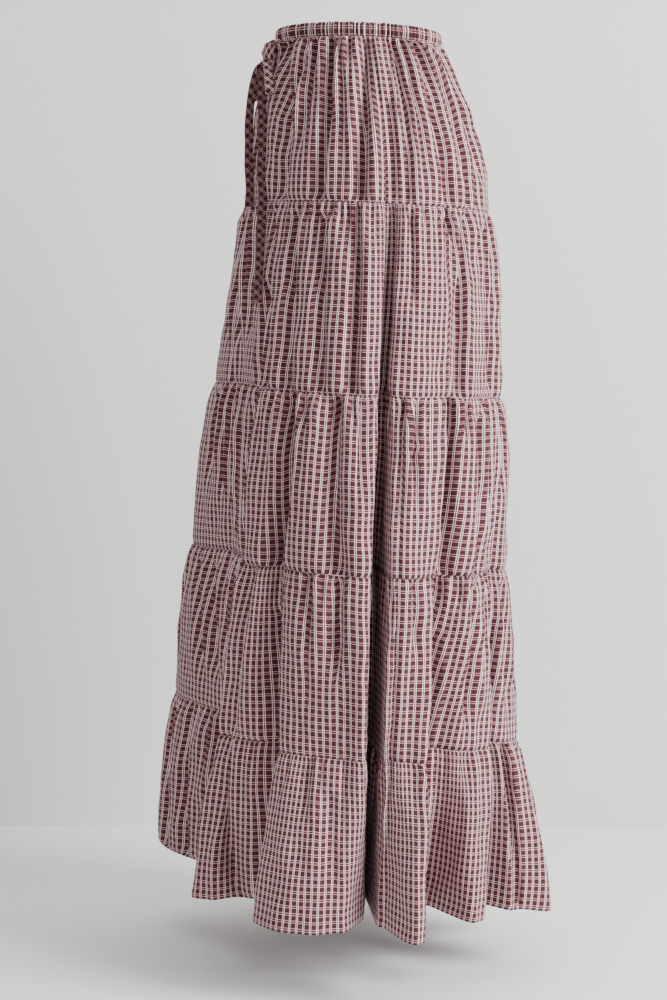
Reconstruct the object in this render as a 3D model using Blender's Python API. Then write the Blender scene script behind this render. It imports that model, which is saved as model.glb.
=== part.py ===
"""Tiered ruffle skirt in its worn, hollow form.

A gathered elastic waistband carries five tiers.  Each tier is a front and a back panel,
gathered into the tier above it, and a bias-cut tie makes a bow at centre front.
Metres, +Z up, front towards -Y, the wearer's left towards +X.  The origin is the centre
of the waistband at half its height, where the wearer holds the skirt up.
"""

import math
from collections import namedtuple

import bmesh
import bpy
import numpy as np
from mathutils import Vector

# ---- Driving sizes ------------------------------------------------------------------
WALL = 0.0012             # cloth wall of the tiers
SEAM_GAP = 0.0003         # space left free at every seam
RING_TILT = 0.05          # how far each ring rises towards the front, per metre
VALLEY_LIFT = 0.08        # how far the cloth is drawn up in a fold, per metre of its depth
MITRE_LIMIT = 1.6         # a wall is never thicker than this many walls at a crease
CREASE_ANGLE = math.radians(50)    # a sharper bend is shaded as a crease
PATH_STEPS = 480          # fine steps that measure a panel's edge
UNEVEN_SEED = 41          # picks the uneven depths and lengths of the gathers

STRIDE_RISE = 0.016       # the forward leg lifts the cloth at front right by this much
STRIDE_ANGLE = math.radians(-138)
STRIDE_SPREAD = math.radians(55)
STRIDE_TOP = 0.593        # the lift starts at this drop and is whole from the next seam
STRIDE_FULL = 0.787

BAND_HEIGHT = 0.0156      # waistband: a casing with its elastic inside
BAND_GATHERS = 36
BAND_PLEAT = 0.0014       # depth of the casing's gathers

TIE_WIDTH = 0.0100        # bias-cut tie, pressed flat
TIE_THICKNESS = 0.0024
TIE_CLEAR = 0.0012        # air between the tie and the cloth it hangs on
KNOT_CENTRE = (0.0040, -0.1125, -0.0160)
KNOT_SIZE = (0.0196, 0.0120, 0.0190)
KNOT_ROUND = 0.0028
NEARLY_UPRIGHT = 0.001     # below this a strand counts as hanging straight down
STRAND_STRAIGHT = 0.0030  # each strand starts straight down for this length
TURN_LENGTH = 0.020       # a strand turns from square under the knot to its own facing here
STRAND_PITCH = 0.0030     # the tie's six strands leave the knot side by side, this far apart
LEAD_WIDTH = 0.0090       # both ends of the tie, one on the other, from casing to knot
LEAD_THICKNESS = 0.0040
LEAD_ROUTE = ((0.004, -0.0962, -0.0015), (0.004, -0.1060, -0.0004), (0.004, -0.1125, -0.0028))

# ---- Outline: the ring around the folds' crests at each height -------------------------
# drop is measured down from the middle of the waistband; half_x is half the side-to-side
# width, half_y half the front-to-back depth, centre_y where the ring's middle lies.
Section = namedtuple("Section", "name drop half_x half_y centre_y")
SECTIONS = (
    Section("waist", 0.000, 0.1200, 0.0900, -0.0035),
    Section("belly", 0.048, 0.1430, 0.1050, 0.0000),
    Section("upper_hip", 0.102, 0.1630, 0.1200, 0.0040),
    Section("hip", 0.145, 0.1760, 0.1305, 0.0055),
    Section("seam_1", 0.192, 0.1850, 0.1360, 0.0055),
    Section("seam_2", 0.400, 0.2100, 0.1600, -0.0040),
    Section("seam_3", 0.593, 0.2350, 0.1735, -0.0120),
    Section("seam_4", 0.787, 0.2550, 0.1920, -0.0120),
    Section("hem", 0.969, 0.2800, 0.2165, -0.0070),
)

# ---- Large folds that run down the skirt ----------------------------------------------
# Crests and valleys in turn.  Angles in degrees, 0 at the wearer's left, -90 at centre
# front, at the hip seam, at seam 3 and at the hem; the push columns say how far the
# cloth stands out from (or in from) the ring at each seam and at the hem, in millimetres.
Fold = namedtuple("Fold", "name at_hip at_knee at_hem push_1 push_2 push_3 push_4 push_hem")
FOLDS = (
    Fold("crest_front_right", -138, -136, -139, 0, 9, 17, 24, 33),
    Fold("valley_front", -73, -88, -101, -8, -24, -38, -50, -62),
    Fold("crest_front_left", -54, -47, -67, 0, 0, -2, -10, -12),
    Fold("valley_left_front", -40, -37, -57, -1, -3, -10, -36, -65),
    Fold("crest_left", -30, -29, -30, 0, 0, 0, 0, -4),
    Fold("brim_left", -14, -15, -19, 0, 0, 0, -1, -8),
    Fold("valley_left_seam", -8, -8, -10, -8, -20, -30, -40, -72),
    Fold("crest_left_seam", 3, 0, -1, 0, 0, 0, 2, 5),
    Fold("valley_left_back", 16, 14, 14, -2, -10, -20, -42, -105),
    Fold("crest_left_back", 24, 22, 21, 0, -3, -8, -25, -50),
    Fold("valley_back_left", 42, 39, 41, -2, -8, -18, -40, -88),
    Fold("crest_back_left", 56, 57, 57, 0, -1, -3, -3, 0),
    Fold("valley_back_a", 74, 75, 76, -4, -10, -22, -38, -56),
    Fold("crest_back_a", 90, 91, 92, 0, 0, 0, 0, 0),
    Fold("valley_back_b", 106, 107, 108, -5, -12, -26, -46, -66),
    Fold("crest_back_b", 122, 123, 123, 0, 0, 0, 0, -4),
    Fold("valley_back_right", 138, 138, 139, -3, -10, -22, -40, -60),
    Fold("crest_back_right", 154, 153, 154, 0, 0, 0, 0, 0),
    Fold("valley_right_seam", 172, 172, 173, -8, -20, -32, -48, -74),
    Fold("crest_right_seam", 185, 187, 188, 0, 0, 0, 2, 4),
    Fold("valley_right_front", 202, 203, 204, -3, -10, -22, -42, -62),
)
LEFT_SEAM = "valley_left_seam"
RIGHT_SEAM = "valley_right_seam"

# ---- Tiers ----------------------------------------------------------------------------
# gathers counts the small pleats of one panel; pleat is their depth under the seam, and
# puff how far the tier swells out below the seam.
Tier = namedtuple("Tier", "name top bottom gathers pleat puff")
TIERS = (
    Tier("tier_1", 0.0078, 0.192, 18, 0.0042, 0.0020),
    Tier("tier_2", 0.192, 0.400, 17, 0.0040, 0.0040),
    Tier("tier_3", 0.400, 0.593, 18, 0.0045, 0.0070),
    Tier("tier_4", 0.593, 0.787, 19, 0.0050, 0.0070),
    Tier("tier_5", 0.787, 0.969, 21, 0.0055, 0.0085),
)
TIER_ROWS = (0.0, 0.08, 0.25, 0.58, 1.0)      # heights of a panel's rings, seam to seam

# ---- Waistband casing -------------------------------------------------------------------
# Its section, clockwise from the lower stitch line: out is the distance from the waist
# ring in millimetres, up the share of the band's height, gathered 1 where pleats show.
BandRow = namedtuple("BandRow", "out up gathered")
BAND_ROWS = (
    BandRow(0.4, -0.49, 0.4),
    BandRow(2.2, -0.22, 1.0),
    BandRow(2.5, 0.20, 1.0),
    BandRow(1.2, 0.46, 0.7),
    BandRow(-0.5, 0.50, 0.3),
    BandRow(-1.7, 0.25, 0.0),
    BandRow(-1.4, -0.49, 0.0),
)

# ---- Tie ----------------------------------------------------------------------------
# Stops down each tail: drop below the waist and x in millimetres, off is how much further
# than its own clearance the tie stands away from the cloth.
Stop = namedtuple("Stop", "drop x off")
SHORT_TAIL = (
    Stop(40, 0.5, 10), Stop(56, -2, 12), Stop(74, -5, 12), Stop(96, -10, 9.5),
    Stop(122, -13, 5), Stop(150, -11, 1.5), Stop(174, -6, 0), Stop(197, -2, 0),
)
LONG_TAIL = (
    Stop(43, 7.5, 6), Stop(60, 11, 5.5), Stop(80, 17, 4.5), Stop(102, 24, 2.5),
    Stop(130, 33, 0.5), Stop(158, 38, 0), Stop(184, 42, 0), Stop(206, 49, 0),
    Stop(230, 60, 0), Stop(254, 70, 0), Stop(280, 80, 0), Stop(306, 88, 0),
)
TAIL_FACING = (0.42, 0.91)      # the flat tape's width direction in plan
# A loop leaves the knot, turns at its foot and comes back; strand is its middle's place
# among the strands under the knot, width_way the flat tape's width direction in plan.
Loop = namedtuple("Loop", "name strand foot width_way")
LOOPS = (
    Loop("tie_loop_short_side", -2.0, (-0.0260, -0.1225, -0.0690), (0.31, 0.95)),
    Loop("tie_loop_long_side", 2.0, (0.0350, -0.1150, -0.0650), (0.259, 0.966)),
)
LOOP_HALF = 0.0045              # half the opening of a loop at its foot
LOOP_STOPS = 6

# ---- Colours --------------------------------------------------------------------------
CLOTH_COLOUR = (0.29, 0.14, 0.15, 1.0)
TIE_COLOUR = (0.20, 0.09, 0.10, 1.0)
CLOTH_ROUGHNESS = 0.85


def cloth_material(name, colour):
    """Plain woven cotton."""
    material = bpy.data.materials.new(name)
    material.use_nodes = True
    shader = material.node_tree.nodes["Principled BSDF"]
    shader.inputs["Base Color"].default_value = colour
    shader.inputs["Roughness"].default_value = CLOTH_ROUGHNESS
    shader.inputs["Metallic"].default_value = 0.0
    return material


# ---- Outline and folds ------------------------------------------------------------------
def smooth_along(at, knots, values):
    """A smooth curve through values given at rising knots."""
    knots, values = np.asarray(knots), np.asarray(values)
    slopes = np.gradient(values, knots)
    left = int(np.clip(np.searchsorted(knots, at) - 1, 0, len(knots) - 2))
    span = knots[left + 1] - knots[left]
    t = (at - knots[left]) / span
    start = (1 + 2 * t) * (1 - t) ** 2 * values[left] + t * (1 - t) ** 2 * span * slopes[left]
    end = t * t * (3 - 2 * t) * values[left + 1] + t * t * (t - 1) * span * slopes[left + 1]
    return start + end


def section_at(drop):
    """Half width, half depth and middle of the ring at one height."""
    knots = [section.drop for section in SECTIONS]
    half_x = smooth_along(drop, knots, [section.half_x for section in SECTIONS])
    half_y = smooth_along(drop, knots, [section.half_y for section in SECTIONS])
    centre_y = smooth_along(drop, knots, [section.centre_y for section in SECTIONS])
    return half_x, half_y, centre_y


SEAM_DROPS = [tier.bottom for tier in TIERS]


def fold_angle(fold, drop):
    """Where a fold lies at one height, in radians."""
    knots = (SEAM_DROPS[0], SEAM_DROPS[2], SEAM_DROPS[4])
    return math.radians(np.interp(drop, knots, (fold.at_hip, fold.at_knee, fold.at_hem)))


def fold_push(fold, drop):
    """How far a fold stands out from the ring at one height."""
    pushes = (0, fold.push_1, fold.push_2, fold.push_3, fold.push_4, fold.push_hem)
    return smooth_along(drop, [0.0] + SEAM_DROPS, pushes) / 1000


def fold_wave(angles, drop):
    """The large folds around one ring, eased from each crest to the next valley."""
    stops = [fold_angle(fold, drop) for fold in FOLDS]
    pushes = [fold_push(fold, drop) for fold in FOLDS]
    stops.append(stops[0] + 2 * math.pi)
    pushes.append(pushes[0])
    turned = (angles - stops[0]) % (2 * math.pi) + stops[0]
    index = np.clip(np.searchsorted(stops, turned, side="right") - 1, 0, len(FOLDS) - 1)
    stops, pushes = np.array(stops), np.array(pushes)
    share = (turned - stops[index]) / (stops[index + 1] - stops[index])
    ease = 0.5 - 0.5 * np.cos(math.pi * share)
    return pushes[index] + (pushes[index + 1] - pushes[index]) * ease


def ring_points(angles, drop, swell=0.0):
    """The cloth's plan at one height, folds and swell included, and the folds' own push."""
    half_x, half_y, centre_y = section_at(drop)
    radius = swell + 1 / np.hypot(np.cos(angles) / half_x, np.sin(angles) / half_y)
    push = fold_wave(angles, drop)
    x = (radius + push) * np.cos(angles)
    y = (radius + push) * np.sin(angles) + centre_y
    return np.column_stack((x, y)), push


def stride_lift(angles, drop):
    """How far the forward leg lifts the cloth around one ring."""
    turn = np.abs((angles - STRIDE_ANGLE + math.pi) % (2 * math.pi) - math.pi)
    near = 0.5 + 0.5 * np.cos(math.pi * np.minimum(turn / STRIDE_SPREAD, 1))
    return STRIDE_RISE * near * np.interp(drop, (STRIDE_TOP, STRIDE_FULL), (0, 1))


# ---- Gathers ----------------------------------------------------------------------------
# A gather's valley wanders this share of its width, and its shoulders stand this far away.
VALLEY_WANDER = 0.24
SHOULDER_AWAY = 0.30
# Depth and length of a gather: the least, and how much an uneven share adds.
DEPTH_RANGE = (0.45, 1.10)
LENGTH_RANGE = (0.30, 0.90)


def uneven(tier_index, panel_index, count):
    """Shares from 0 to 1 that make one panel's gathers uneven, the same on every run."""
    seed = UNEVEN_SEED + 10 * tier_index + panel_index
    return np.random.default_rng(seed).random((count, 3))


def puff_share(share):
    """How much of its swelling a tier has at a share of its height."""
    return 1.4 * (1 - math.exp(-share / 0.14)) * (1 - share) ** 0.6


def pleat_share(share, length):
    """How deep a gather of a given length still is at a share of the tier's height."""
    tight = 0.45 + 0.55 * min(share / 0.06, 1.0)
    return tight * max(0.0, 1.0 - share / length) ** 1.3


def gather_stations(tier, chances):
    """Places along a panel, as shares of its width, and which gather each one is in.

    Every gather has a narrow valley between two shoulders; the panel's two ends have none.
    """
    places, owners = [0.0], [-1]
    for gather in range(tier.gathers):
        middle = gather + 0.5 + VALLEY_WANDER * (chances[gather, 0] - 0.5)
        for offset, owner in ((-SHOULDER_AWAY, -1), (0.0, gather), (SHOULDER_AWAY, -1)):
            places.append((middle + offset) / tier.gathers)
            owners.append(owner)
    return np.array(places + [1.0]), owners + [-1]


# ---- Panels -----------------------------------------------------------------------------
def panel_span(panel_index, drop):
    """The angles between which a panel lies: front is 0, back is 1."""
    seams = {fold.name: fold_angle(fold, drop) for fold in FOLDS}
    left, right = seams[LEFT_SEAM], seams[RIGHT_SEAM]
    return (right - 2 * math.pi, left) if panel_index == 0 else (left, right)


def plan_normals(points):
    """Outward directions along a plan curve that runs anticlockwise."""
    steps = np.diff(points, axis=0)
    steps /= np.linalg.norm(steps, axis=1)[:, None]
    sides = np.column_stack((steps[:, 1], -steps[:, 0]))
    before = np.vstack((sides[:1], sides))
    after = np.vstack((sides, sides[-1:]))
    middle = before + after
    middle /= np.linalg.norm(middle, axis=1)[:, None]
    mitre = 1 / np.maximum(np.sum(middle * before, axis=1), 1 / MITRE_LIMIT)
    return middle, mitre


def panel_ring(tier_index, panel_index, share):
    """Outer and inner points of one panel at one height of its tier."""
    tier = TIERS[tier_index]
    chances = uneven(tier_index, panel_index, tier.gathers)
    drop = tier.top + (tier.bottom - tier.top) * share
    start, end = panel_span(panel_index, drop)
    angles = np.linspace(start, end, PATH_STEPS)
    fine, push = ring_points(angles, drop, tier.puff * puff_share(share))
    rise = stride_lift(angles, drop) - VALLEY_LIFT * np.minimum(push, 0)
    travelled = np.concatenate(([0.0], np.cumsum(np.linalg.norm(np.diff(fine, axis=0), axis=1))))
    places, owners = gather_stations(tier, chances)
    margin = 0.5 * SEAM_GAP
    stations = margin + places * (travelled[-1] - 2 * margin)
    plan = np.column_stack([np.interp(stations, travelled, fine[:, axis]) for axis in (0, 1)])
    lift = np.interp(stations, travelled, rise)
    facings = plan_normals(fine)[0]
    directions = np.column_stack(
        [np.interp(stations, travelled, facings[:, axis]) for axis in (0, 1)])
    pleats = np.zeros(len(plan))
    for place, owner in enumerate(owners):
        if owner >= 0:
            depth = tier.pleat * (DEPTH_RANGE[0] + DEPTH_RANGE[1] * chances[owner, 1])
            length = LENGTH_RANGE[0] + LENGTH_RANGE[1] * chances[owner, 2]
            pleats[place] = depth * pleat_share(share, length)
    outer = plan - directions * pleats[:, None]
    thick_ways, mitre = plan_normals(outer)
    for end in (0, -1):
        thick_ways[end], mitre[end] = directions[end], 1.0
    inner = outer - thick_ways * (WALL * mitre)[:, None]
    edge = 0.5 * SEAM_GAP * ((share == 0.0) * -1 + (share == 1.0))
    return [with_height(flat, drop, lift, edge) for flat in (outer, inner)]


def with_height(flat, drop, lift, edge):
    """Plan points raised to their height, with the ring's tilt and the folds' lift."""
    height = -drop - RING_TILT * flat[:, 1] + lift + edge
    return np.column_stack((flat, height))


def closed_wall(name, outer, inner):
    """One closed wall from the grids of its outer and inner points, top row first."""
    rows, columns = outer.shape[:2]
    mesh = bmesh.new()
    skins = [[[mesh.verts.new(point) for point in row] for row in grid] for grid in (outer, inner)]
    front, rear = skins
    for row in range(rows - 1):
        for column in range(columns - 1):
            for skin, order in ((front, 1), (rear, -1)):
                upper, lower = skin[row], skin[row + 1]
                first = (upper[column], lower[column], lower[column + 1])
                second = (upper[column], lower[column + 1], upper[column + 1])
                mesh.faces.new(first[::order])
                mesh.faces.new(second[::order])
    for row in range(rows - 1):
        mesh.faces.new((front[row][0], rear[row][0], rear[row + 1][0], front[row + 1][0]))
        mesh.faces.new((front[row][-1], front[row + 1][-1], rear[row + 1][-1], rear[row][-1]))
    for column in range(columns - 1):
        mesh.faces.new((front[0][column], front[0][column + 1],
                        rear[0][column + 1], rear[0][column]))
        mesh.faces.new((front[-1][column], rear[-1][column],
                        rear[-1][column + 1], front[-1][column + 1]))
    return finished_object(name, mesh, CLOTH_COLOUR)


def finished_object(name, mesh, colour):
    """A named object from a bmesh, in its own cloth, with every face pointing outwards."""
    bmesh.ops.recalc_face_normals(mesh, faces=mesh.faces)
    data = bpy.data.meshes.new(name)
    mesh.to_mesh(data)
    mesh.free()
    data.materials.append(cloth_material(f"{name}_cloth", colour))
    data.shade_smooth()
    data.set_sharp_from_angle(angle=CREASE_ANGLE)
    piece = bpy.data.objects.new(name, data)
    bpy.context.scene.collection.objects.link(piece)
    return piece


def make_tier(tier_index):
    """The front and back panel of one tier."""
    tier = TIERS[tier_index]
    for panel_index, side in enumerate(("front", "back")):
        rings = [panel_ring(tier_index, panel_index, share) for share in TIER_ROWS]
        outer = np.array([ring[0] for ring in rings])
        inner = np.array([ring[1] for ring in rings])
        closed_wall(f"{tier.name}_{side}", outer, inner)


# ---- Waistband --------------------------------------------------------------------------
def make_waistband():
    """The elastic casing: one gathered ring with a rounded section."""
    columns = 3 * BAND_GATHERS
    chances = np.random.default_rng(UNEVEN_SEED).random((BAND_GATHERS, 2))
    angles = np.arange(columns) * 2 * math.pi / columns
    ring, _ = ring_points(angles, 0.0)
    closed = np.vstack((ring[-1:], ring, ring[:1]))
    outward = plan_normals(closed)[0][1:-1]
    pleats = np.zeros(columns)
    pleats[::3] = BAND_PLEAT * (0.6 + 0.8 * chances[:, 0])
    mesh = bmesh.new()
    rows = []
    for row in BAND_ROWS:
        flat = ring + outward * (row.out / 1000 - pleats * row.gathered)[:, None]
        height = row.up * BAND_HEIGHT - RING_TILT * flat[:, 1] - 0.3 * pleats * row.gathered
        rows.append([mesh.verts.new(point) for point in np.column_stack((flat, height))])
    for row, upper in enumerate(rows):
        lower = rows[row - 1]
        for column in range(columns):
            after = (column + 1) % columns
            mesh.faces.new((upper[column], lower[column], lower[after], upper[after]))
    return finished_object("waistband", mesh, CLOTH_COLOUR)


# ---- Tie ----------------------------------------------------------------------------------
def cloth_front(x, drop):
    """How far forward the front panels reach at one x and drop, gathers and puff included."""
    index = next(i for i, tier in enumerate(TIERS) if drop <= tier.bottom)
    tier = TIERS[index]
    share = max(0.0, (drop - tier.top) / (tier.bottom - tier.top))
    outer = panel_ring(index, 0, share)[0]
    near = (np.abs(outer[:, 0] - x) < 1.2 * TIE_WIDTH) & (outer[:, 1] < 0)
    return outer[near, 1].min()


def strand_top(strand):
    """Where one of the tie's strands leaves the underside of the knot."""
    x, y, z = KNOT_CENTRE
    return Vector((x + strand * STRAND_PITCH, y, z - 0.5 * KNOT_SIZE[2] - SEAM_GAP))


def tail_route(strand, stops):
    """A tail's centre line: beside the cloth, half its width and its clearance in front."""
    half = 0.5 * TIE_WIDTH * TAIL_FACING[1]
    route = [strand_top(strand), strand_top(strand) - Vector((0, 0, STRAND_STRAIGHT))]
    for stop in stops:
        x, drop = stop.x / 1000, stop.drop / 1000
        y = cloth_front(x, drop) - half - TIE_CLEAR - stop.off / 1000
        route.append(Vector((x, y, -drop - RING_TILT * y)))
    return route


def loop_route(loop):
    """A bow loop's centre line: down one strand, round the foot and up the other."""
    knot_side, foot = strand_top(loop.strand), Vector(loop.foot)
    top = knot_side - Vector((0, 0, STRAND_STRAIGHT))
    across = Vector((loop.width_way[1], -loop.width_way[0], 0.0)).normalized()
    turn_centre = foot + (top - foot).normalized() * LOOP_HALF
    down = (foot - turn_centre).normalized()
    strands = [(knot_side, 0.5 * STRAND_PITCH)]
    for step in range(LOOP_STOPS):
        share = step / LOOP_STOPS
        opening = (LOOP_HALF - 0.5 * STRAND_PITCH) * math.sin(0.5 * math.pi * share)
        strands.append((top.lerp(turn_centre, share), 0.5 * STRAND_PITCH + opening))
    route = [middle + across * half for middle, half in strands]
    for step in range(LOOP_STOPS + 1):
        turn = math.pi * step / LOOP_STOPS
        route.append(turn_centre + LOOP_HALF * (across * math.cos(turn) + down * math.sin(turn)))
    return route + [middle - across * half for middle, half in reversed(strands)]


def turning_ways(route, facing, both_ends):
    """Width directions that start square under the knot and turn to the strand's facing."""
    steps = [(after - before).length for before, after in zip(route, route[1:])]
    travelled = [sum(steps[:index]) for index in range(len(route))]
    square, own = Vector((0, 1, 0)), Vector((*facing, 0)).normalized()
    ways = []
    for distance in travelled:
        nearest = min(distance, travelled[-1] - distance) if both_ends else distance
        ways.append(square.lerp(own, min(nearest / TURN_LENGTH, 1.0)).normalized())
    return ways


def tape_tilts(route, width_ways):
    """The tilt at each point that turns a curve's own frame to the tape's width."""
    steps = [(after - before).normalized() for before, after in zip(route, route[1:])]
    ways = [steps[0]] + [(a + b).normalized() for a, b in zip(steps, steps[1:])] + [steps[-1]]
    up = Vector((0, 0, 1)) - ways[0] * ways[0].z
    frame = up.normalized() if up.length > NEARLY_UPRIGHT else Vector((0, 1, 0))
    tilts = []
    for index, way in enumerate(ways):
        if index:
            frame = ways[index - 1].rotation_difference(way) @ frame
        across = frame.cross(way)
        tilts.append(math.atan2(-width_ways[index].dot(across), width_ways[index].dot(frame)))
        while index and tilts[-1] - tilts[-2] > math.pi / 2:
            tilts[-1] -= math.pi
        while index and tilts[-1] - tilts[-2] < -math.pi / 2:
            tilts[-1] += math.pi
    return tilts


def make_tape(name, route, width_ways, width=TIE_WIDTH, thickness=TIE_THICKNESS):
    """A flat tape laid along a route, with filled ends."""
    curve = bpy.data.curves.new(name, "CURVE")
    curve.dimensions = "3D"
    curve.twist_mode = "MINIMUM"
    curve.bevel_depth = 0.5 * thickness
    curve.bevel_resolution = 2
    curve.extrude = 0.5 * (width - thickness)
    curve.use_fill_caps = True
    spline = curve.splines.new("POLY")
    spline.points.add(len(route) - 1)
    tilts = tape_tilts(route, width_ways)
    for point, place, tilt in zip(spline.points, route, tilts):
        point.co = (*place, 1.0)
        point.tilt = tilt
    curve.materials.append(cloth_material(f"{name}_cloth", TIE_COLOUR))
    piece = bpy.data.objects.new(name, curve)
    bpy.context.scene.collection.objects.link(piece)
    return piece


def make_knot():
    """The bow's knot: a small upright cushion of wound cloth."""
    mesh = bmesh.new()
    bmesh.ops.create_cube(mesh, size=1.0)
    bmesh.ops.scale(mesh, vec=KNOT_SIZE, verts=mesh.verts)
    bmesh.ops.bevel(mesh, geom=mesh.edges, offset=KNOT_ROUND, segments=3, profile=0.5,
                    affect="EDGES")
    bmesh.ops.translate(mesh, vec=KNOT_CENTRE, verts=mesh.verts)
    return finished_object("tie_knot", mesh, TIE_COLOUR)


def make_tie():
    """The bow at centre front: its lead from the casing, knot, two loops and two tails."""
    knot_top = Vector(KNOT_CENTRE) + Vector((0, 0, 0.5 * KNOT_SIZE[2] + SEAM_GAP))
    lead = [Vector(place) for place in LEAD_ROUTE] + [knot_top]
    make_tape("tie_lead", lead, [Vector((1, 0, 0))] * len(lead), LEAD_WIDTH, LEAD_THICKNESS)
    make_knot()
    for loop in LOOPS:
        route = loop_route(loop)
        make_tape(loop.name, route, turning_ways(route, loop.width_way, True))
    for name, strand, stops in (("tie_tail_short", -0.5, SHORT_TAIL),
                                ("tie_tail_long", 0.5, LONG_TAIL)):
        route = tail_route(strand, stops)
        make_tape(name, route, turning_ways(route, TAIL_FACING, False))


def build():
    """Clear the scene and make every piece."""
    for old in list(bpy.data.objects):
        bpy.data.objects.remove(old, do_unlink=True)
    make_waistband()
    for tier_index in range(len(TIERS)):
        make_tier(tier_index)
    make_tie()


build()
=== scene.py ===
# %% [markdown]
# # A tiered ruffle skirt, dressed over its measured frame
#
# The real skirt is five strips of light checked cotton, each gathered into the one above it,
# and all of them hang from an elastic casing. A soft bias tie makes a bow at centre front.
# The measured frame holds one plain closed wall for every cut piece. Here each wall gets its
# cloth: a thin shell that keeps the wall's place and adds the creases, gathers and check.

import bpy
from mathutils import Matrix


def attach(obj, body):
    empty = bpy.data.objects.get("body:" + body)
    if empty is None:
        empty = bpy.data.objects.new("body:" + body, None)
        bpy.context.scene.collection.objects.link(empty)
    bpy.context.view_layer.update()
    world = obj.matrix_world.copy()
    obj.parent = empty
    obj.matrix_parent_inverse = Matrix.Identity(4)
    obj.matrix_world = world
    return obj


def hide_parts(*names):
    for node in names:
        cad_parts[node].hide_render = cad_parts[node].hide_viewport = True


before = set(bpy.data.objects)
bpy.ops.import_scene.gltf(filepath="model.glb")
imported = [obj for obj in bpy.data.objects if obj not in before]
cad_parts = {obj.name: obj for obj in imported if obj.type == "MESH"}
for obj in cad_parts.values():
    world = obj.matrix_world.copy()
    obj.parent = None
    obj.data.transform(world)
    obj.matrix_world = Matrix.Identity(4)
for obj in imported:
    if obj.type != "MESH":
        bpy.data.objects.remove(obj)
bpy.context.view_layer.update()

# %%
import math
from collections import namedtuple

import bmesh
import bpy
import numpy as np
from mathutils import Matrix, Vector

# %% [markdown]
# ## The camera comes first
#
# The skirt is seen from the wearer's own left, a little towards the front, from three metres
# away. A long lens from that far keeps the tiers in proportion. The camera looks slightly
# down, and a small vertical shift does the rest of the framing, so upright lines stay upright.

# %% Camera
VIEW_TURN = math.radians(75)
VIEW_AWAY = 3.0
lens = bpy.data.cameras.new("skirt_camera")
lens.lens = 93.96
lens.sensor_width = 36.0
lens.shift_y = -0.1056
camera = bpy.data.objects.new("skirt_camera", lens)
camera.location = (VIEW_AWAY * math.sin(VIEW_TURN), -VIEW_AWAY * math.cos(VIEW_TURN), -0.2793)
camera.rotation_euler = (math.radians(90 - 2.4), 0.0, VIEW_TURN + math.radians(0.604))
bpy.context.scene.collection.objects.link(camera)
bpy.context.scene.camera = camera
print("camera", round(VIEW_AWAY, 2), "m away")

# %% [markdown]
# ## The ring that every tier follows
#
# A worn skirt has no flat side, so its form is written as rings: an oval at each height, and
# large folds that push the oval in and out. These are the same named sizes as in the
# frame, so cloth that follows them lies exactly where its wall lies.

# %% Sizes of the rings, folds and tiers
SEAM_GAP = 0.0003
RING_TILT = 0.05
VALLEY_LIFT = 0.08
STRIDE_RISE = 0.016
STRIDE_ANGLE = math.radians(-138)
STRIDE_SPREAD = math.radians(55)
STRIDE_TOP, STRIDE_FULL = 0.593, 0.787

Section = namedtuple("Section", "drop half_x half_y centre_y")
SECTIONS = (
    Section(0.000, 0.1200, 0.0900, -0.0035),
    Section(0.048, 0.1430, 0.1050, 0.0000),
    Section(0.102, 0.1630, 0.1200, 0.0040),
    Section(0.145, 0.1760, 0.1305, 0.0055),
    Section(0.192, 0.1850, 0.1360, 0.0055),
    Section(0.400, 0.2100, 0.1600, -0.0040),
    Section(0.593, 0.2350, 0.1735, -0.0120),
    Section(0.787, 0.2550, 0.1920, -0.0120),
    Section(0.969, 0.2800, 0.2165, -0.0070),
)
# Angles in degrees at the hip seam, at seam 3 and at the hem, 0 at the wearer's left and -90
# at centre front; then how far the fold stands out from the ring at each seam, in mm.
Fold = namedtuple("Fold", "name at_hip at_knee at_hem push_1 push_2 push_3 push_4 push_hem")
FOLDS = (
    Fold("crest_front_right", -138, -136, -139, 0, 9, 17, 24, 33),
    Fold("valley_front", -73, -88, -101, -8, -24, -38, -50, -62),
    Fold("crest_front_left", -54, -47, -67, 0, 0, -2, -10, -12),
    Fold("valley_left_front", -40, -37, -57, -1, -3, -10, -36, -65),
    Fold("crest_left", -30, -29, -30, 0, 0, 0, 0, -4),
    Fold("brim_left", -14, -15, -19, 0, 0, 0, -1, -8),
    Fold("valley_left_seam", -8, -8, -10, -8, -20, -30, -40, -72),
    Fold("crest_left_seam", 3, 0, -1, 0, 0, 0, 2, 5),
    Fold("valley_left_back", 16, 14, 14, -2, -10, -20, -42, -105),
    Fold("crest_left_back", 24, 22, 21, 0, -3, -8, -25, -50),
    Fold("valley_back_left", 42, 39, 41, -2, -8, -18, -40, -88),
    Fold("crest_back_left", 56, 57, 57, 0, -1, -3, -3, 0),
    Fold("valley_back_a", 74, 75, 76, -4, -10, -22, -38, -56),
    Fold("crest_back_a", 90, 91, 92, 0, 0, 0, 0, 0),
    Fold("valley_back_b", 106, 107, 108, -5, -12, -26, -46, -66),
    Fold("crest_back_b", 122, 123, 123, 0, 0, 0, 0, -4),
    Fold("valley_back_right", 138, 138, 139, -3, -10, -22, -40, -60),
    Fold("crest_back_right", 154, 153, 154, 0, 0, 0, 0, 0),
    Fold("valley_right_seam", 172, 172, 173, -8, -20, -32, -48, -74),
    Fold("crest_right_seam", 185, 187, 188, 0, 0, 0, 2, 4),
    Fold("valley_right_front", 202, 203, 204, -3, -10, -22, -42, -62),
)
Tier = namedtuple("Tier", "name top bottom gathers pleat puff")
TIERS = (
    Tier("tier_1", 0.0078, 0.192, 18, 0.0042, 0.0020),
    Tier("tier_2", 0.192, 0.400, 17, 0.0040, 0.0040),
    Tier("tier_3", 0.400, 0.593, 18, 0.0045, 0.0070),
    Tier("tier_4", 0.593, 0.787, 19, 0.0050, 0.0070),
    Tier("tier_5", 0.787, 0.969, 21, 0.0055, 0.0085),
)
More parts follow.
